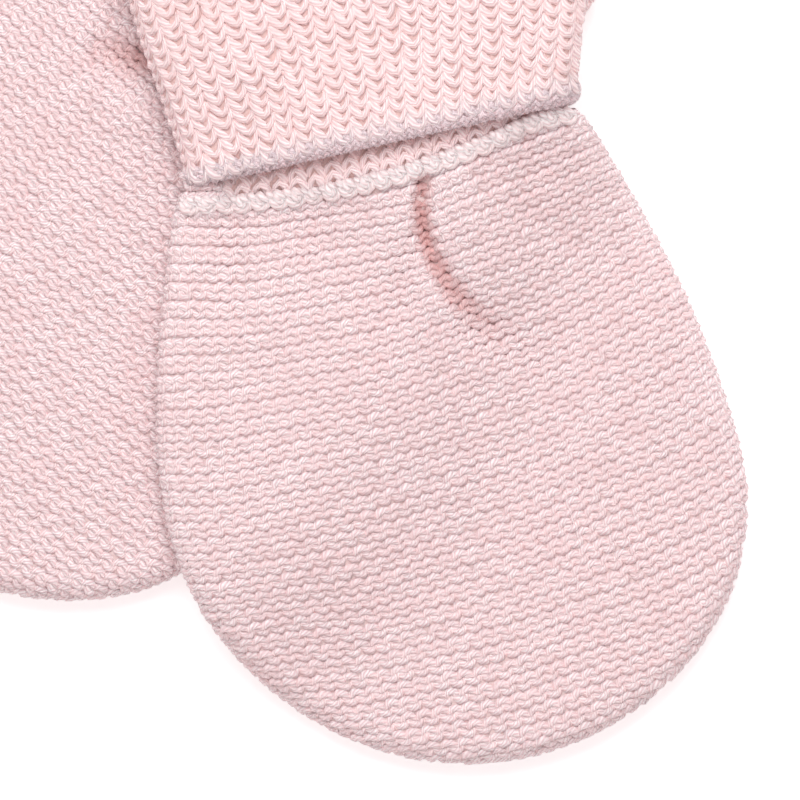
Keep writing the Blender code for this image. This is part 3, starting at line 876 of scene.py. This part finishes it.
def layLoops(name, surface, toFlat, shape, places, look, material, shade=None):
    first, second = places
    unitPath = smoothPath(shape, look["steps"])
    paths, outward = stitchPaths(surface, toFlat, unitPath, first, second, look["sink"])
    radii = stitchRadii(len(first), look)
    depth = np.clip((behind["from"] - unitPath[:, 2]) / behind["over"], 0.0, 1.0)
    tone = np.repeat(seed.uniform(0.0, 1.0, len(first))[:, None], look["steps"] + 1, axis=1)
    if shade is None:
        fold = foldShade(surface, toFlat, first, second, unitPath)
    else:
        fold = np.repeat(shade[:, None], look["steps"] + 1, axis=1)
    values = {"tone": tone, "depth": np.tile(depth, (len(first), 1)), "fold": fold}
    piece = layYarn(name, yarnTube(look["sides"], look["steps"]), paths, outward, radii, values, material)
    faces = 2 * look["sides"] * (look["steps"] + 1) - 4
    print(name, len(first), "loops,", len(first) * faces, "triangles")
    return piece


def garterLoops(prefix, mitten, surface, look, edgeFrom):
    place = garterPlace(mitten)
    wales = np.arange(-garter["walesAside"], garter["walesAside"] + 1)
    ridges = np.arange(garter["firstRidge"], garter["ridges"] + garter["moreRidges"])
    pieces = []
    for which, half in (("head", 0.0), ("sinker", 0.5)):
        wale, ridge = (grid.ravel() for grid in np.meshgrid(wales + half, ridges))
        wale = wale + garter["waver"] * np.sin(garter["waverTurn"] * ridge)
        across, along = place(wale, ridge)
        belowLink = linkAlong(across) + garter["belowLink"]
        start = np.where(np.abs(across) > garter["sideFrom"], garter["sideStart"], belowLink)
        kept = (inwardOf(across, along)[0] > edgeFrom) & (along > start)
        places = wale[kept], ridge[kept]
        name = prefix + which + "s"
        pieces.append(layLoops(name, surface, place, garter[which], places, look, garterYarn))
    return pieces


def lowered(column, run):
    # the rows come closer to the free edge at the tube's first side
    atSide = np.exp(-((column - hem["lowerAt"]) / hem["lowerWide"]) ** 2)
    return run - hem["lower"] * atSide * np.exp(-np.maximum(run - hem["lowerFrom"], 0.0) / hem["lowerFade"])


def towardsEdge(column, course):
    # courses count towards the free edge
    run = rib["start"] - course * rib["course"]
    return column + rib["waver"] * np.sin(rib["waverTurn"] * course + column), lowered(column, run)


def alongRun(column, run):
    return column, -run


def atRim(column, run):
    return column, lowered(column, -run)


def towardsLink(column, row):
    up = np.zeros_like(column)
    across = cuffRing(column, up, up + lobe["stripOut"], up)[0] + cuffSway(up)
    return column, linkAlong(across) + lobe["stripAt"] + row * lobe["stripCourse"]


def fromLink(across, along):
    return across, linkAlong(across) + along


def ribColumns(low, high, rows):
    # low and high count from the ring's first column of stitches
    column, row = np.meshgrid(np.arange(low, high) + rib["firstColumn"], rows)
    return column.ravel().astype(float), row.ravel().astype(float)


def ribLoops(prefix, outer):
    courses = -np.arange(rib["courses"])
    halfRing = ribCount // 2
    top, under = ribColumns(0, halfRing, courses), ribColumns(halfRing, ribCount, courses)
    return [
        layLoops(prefix + "rib", outer, towardsEdge, rib["loop"], top, rib, ribYarn),
        layLoops(prefix + "rib_under", outer, towardsEdge, rib["loop"], under, rib | cheap, ribYarn),
    ]


def hemLoops(prefix, outer):
    shape = [(x * hem["wide"], y * rib["course"] * hem["long"], z + hem["lift"]) for x, y, z in rib["loop"]]
    rim = ribColumns(0, ribCount, [-hem["rimRun"]])
    pieces = [layLoops(prefix + "edge", outer, atRim, shape, rim, rib | {"radius": hem["radius"]}, ribYarn)]
    look = rib | cheap | {"radius": hem["curlRadius"], "sink": hem["sink"]}
    # the curled knit has two stitches to a rib, and its sinkers lie half a stitch on
    start, runs = rib["firstColumn"], [-at for at in hem["curlRuns"]]
    for which, shift in (("head", 0.0), ("sinker", 0.25)):
        half, run = ribColumns(start, 2 * ribCount + start, runs)
        shape = [(hem["curlWide"] * x, hem["curlLong"] * y, z) for x, y, z in hem[which]]
        name = prefix + "curl_" + which + "s"
        # the curl's yarn is the darker copy, painted shade where it turns under
        pieces.append(layLoops(name, outer, alongRun, shape, (0.5 * half + shift, run), look, shadedCurlYarn))
    return pieces


def innerLoops(prefix, inner):
    strip = ribColumns(0, ribCount, range(1 - lobe["stripRows"], 1))
    shape = [(x, lobe["stripShift"] - y, z) for x, y, z in rib["loop"]][::-1]
    look = rib | {"radius": lobe["stripRadius"], "steps": lobe["stripSteps"]}
    # painted shade under the free edge: the strip's rows nearest it take the crease colour
    start, slope, most = lobe["stripShade"]
    shade = np.clip(start - slope * strip[1], 0.0, most)
    return [layLoops(prefix + "inner_rib", inner, towardsLink, shape, strip, look, ribYarn, shade)]


def linkLoops(prefix, surface, lower):
    pitch = 2.0 * lobe["reach"] / lobe["count"]
    middles = (np.arange(lobe["count"]) - 0.5 * (lobe["count"] - 1)) * pitch
    along = np.full(lobe["count"], lobe["at"])
    pieces = []
    for label, which, shift in lobe["strands"]:
        shape = [(x * pitch, lobe["long"] * y, z - lobe["low"] - lower) for x, y, z in lobe[which]]
        look = rib | {"radius": lobe["radii"][which], "sink": lobe["sink"]}
        places = middles + shift * pitch, along
        # the link uses the paler copy of the yarn, painted light
        pieces.append(layLoops(prefix + label, surface, fromLink, shape, places, look, litLinkYarn))
    return pieces


def cuffLoops(side, outer, inner, front, back):
    cuffName, linkName = side + "_cuff_", side + "_link_"
    pieces = ribLoops(cuffName, outer) + hemLoops(cuffName, outer) + innerLoops(cuffName, inner)
    pieces += linkLoops(linkName + "front_", front, 0.0)
    return pieces + linkLoops(linkName + "back_", back, lobe["backLower"])


def makeMitten(mitten):
    side = mitten["name"]
    front = panelSurface(mitten, 1.0, mitten["folds"])
    back = panelSurface(mitten, -1.0, [])
    outer = cuffSurface(mitten)
    inner = innerSurface(mitten)
    print(side, "surfaces worked out")
    pieces = {}
    panels = [
        ("front", front, garter, garter["frontFrom"]),
        ("back", back, garter | cheap, garter["backFrom"]),
    ]
    for label, surface, look, edgeFrom in panels:
        ground = panelGround(side + "_" + label + "_ground", surface)
        loops = garterLoops(side + "_" + label + "_", mitten, surface, look, edgeFrom)
        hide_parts(side + "_" + label)
        pieces[label] = [ground, *loops]
    ground = cuffGround(side + "_cuff_ground", mitten)
    loops = cuffLoops(side, outer, inner, front, back)
    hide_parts(side + "_cuff")
    pieces["cuff"] = [ground, *loops]
    return pieces


left = makeMitten(leftMitten)
right = makeMitten(rightMitten)

# whole cuts laid flat: a panel is an egg shape, so it has less area than its width by its length
triangles = sum(len(face.vertices) - 2 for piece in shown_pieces() for face in piece.data.polygons)
print("triangles in all:", triangles)

# Floor, light and camera, in metres. The floor glows a little, so that it stays as pale as paper
stage = {
    "floorHalf": 1.2, "paper": (0.85, 0.85, 0.85, 1.0), "glow": 0.45,
    "sky": 0.60, "skyColour": (1.0, 0.9, 0.905, 1.0),
    "lampPower": 7.4, "lampSize": 0.7, "lampAt": (-0.06, 0.53, 0.91),
}
# a long lens straight above, which takes in the given width at the height of the knit
view = {"height": 1.5, "plane": 0.0035, "width": 0.105, "sensor": 36.0, "reach": 10.0}


def addFloor():
    bm = bmesh.new()
    bmesh.ops.create_grid(bm, x_segments=1, y_segments=1, size=stage["floorHalf"])
    mesh = bpy.data.meshes.new("floor")
    bm.to_mesh(mesh)
    bm.free()
    floor = bpy.data.objects.new("floor", mesh)
    bpy.context.scene.collection.objects.link(floor)
    shader = Shader("floor_paper")
    shader.feed(shader.surface, {
        "Base Color": stage["paper"], "Roughness": 0.9,
        "Emission Color": (1.0, 1.0, 1.0, 1.0), "Emission Strength": stage["glow"]})
    mesh.materials.append(shader.material)
    floor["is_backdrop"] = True


def addLight():
    world = bpy.data.worlds.new("studio")
    bpy.context.scene.world = world
    world.use_nodes = True
    world.node_tree.nodes["Background"].inputs["Color"].default_value = stage["skyColour"]
    world.node_tree.nodes["Background"].inputs["Strength"].default_value = stage["sky"]
    lamp = bpy.data.lights.new("overhead", "AREA")
    lamp.shape = "DISK"
    lamp.size = stage["lampSize"]
    lamp.energy = stage["lampPower"]
    holder = bpy.data.objects.new("overhead", lamp)
    x, y, z = stage["lampAt"]
    holder.location = stage["lampAt"]
    holder.rotation_euler = (-math.atan2(y, z), math.atan2(x, math.hypot(y, z)), 0.0)
    bpy.context.scene.collection.objects.link(holder)


def addCamera():
    camera = bpy.data.cameras.new("camera")
    camera.sensor_width = view["sensor"]
    camera.lens = view["sensor"] * (view["height"] - view["plane"]) / view["width"]
    camera.clip_end = view["reach"]
    holder = bpy.data.objects.new("camera", camera)
    holder.location = (-pairMiddle[0] * mm, -pairMiddle[1] * mm, view["height"])
    bpy.context.scene.collection.objects.link(holder)
    bpy.context.scene.camera = holder


addFloor()
addLight()
addCamera()
bpy.context.scene.view_settings.view_transform = "Standard"
print("stage set")
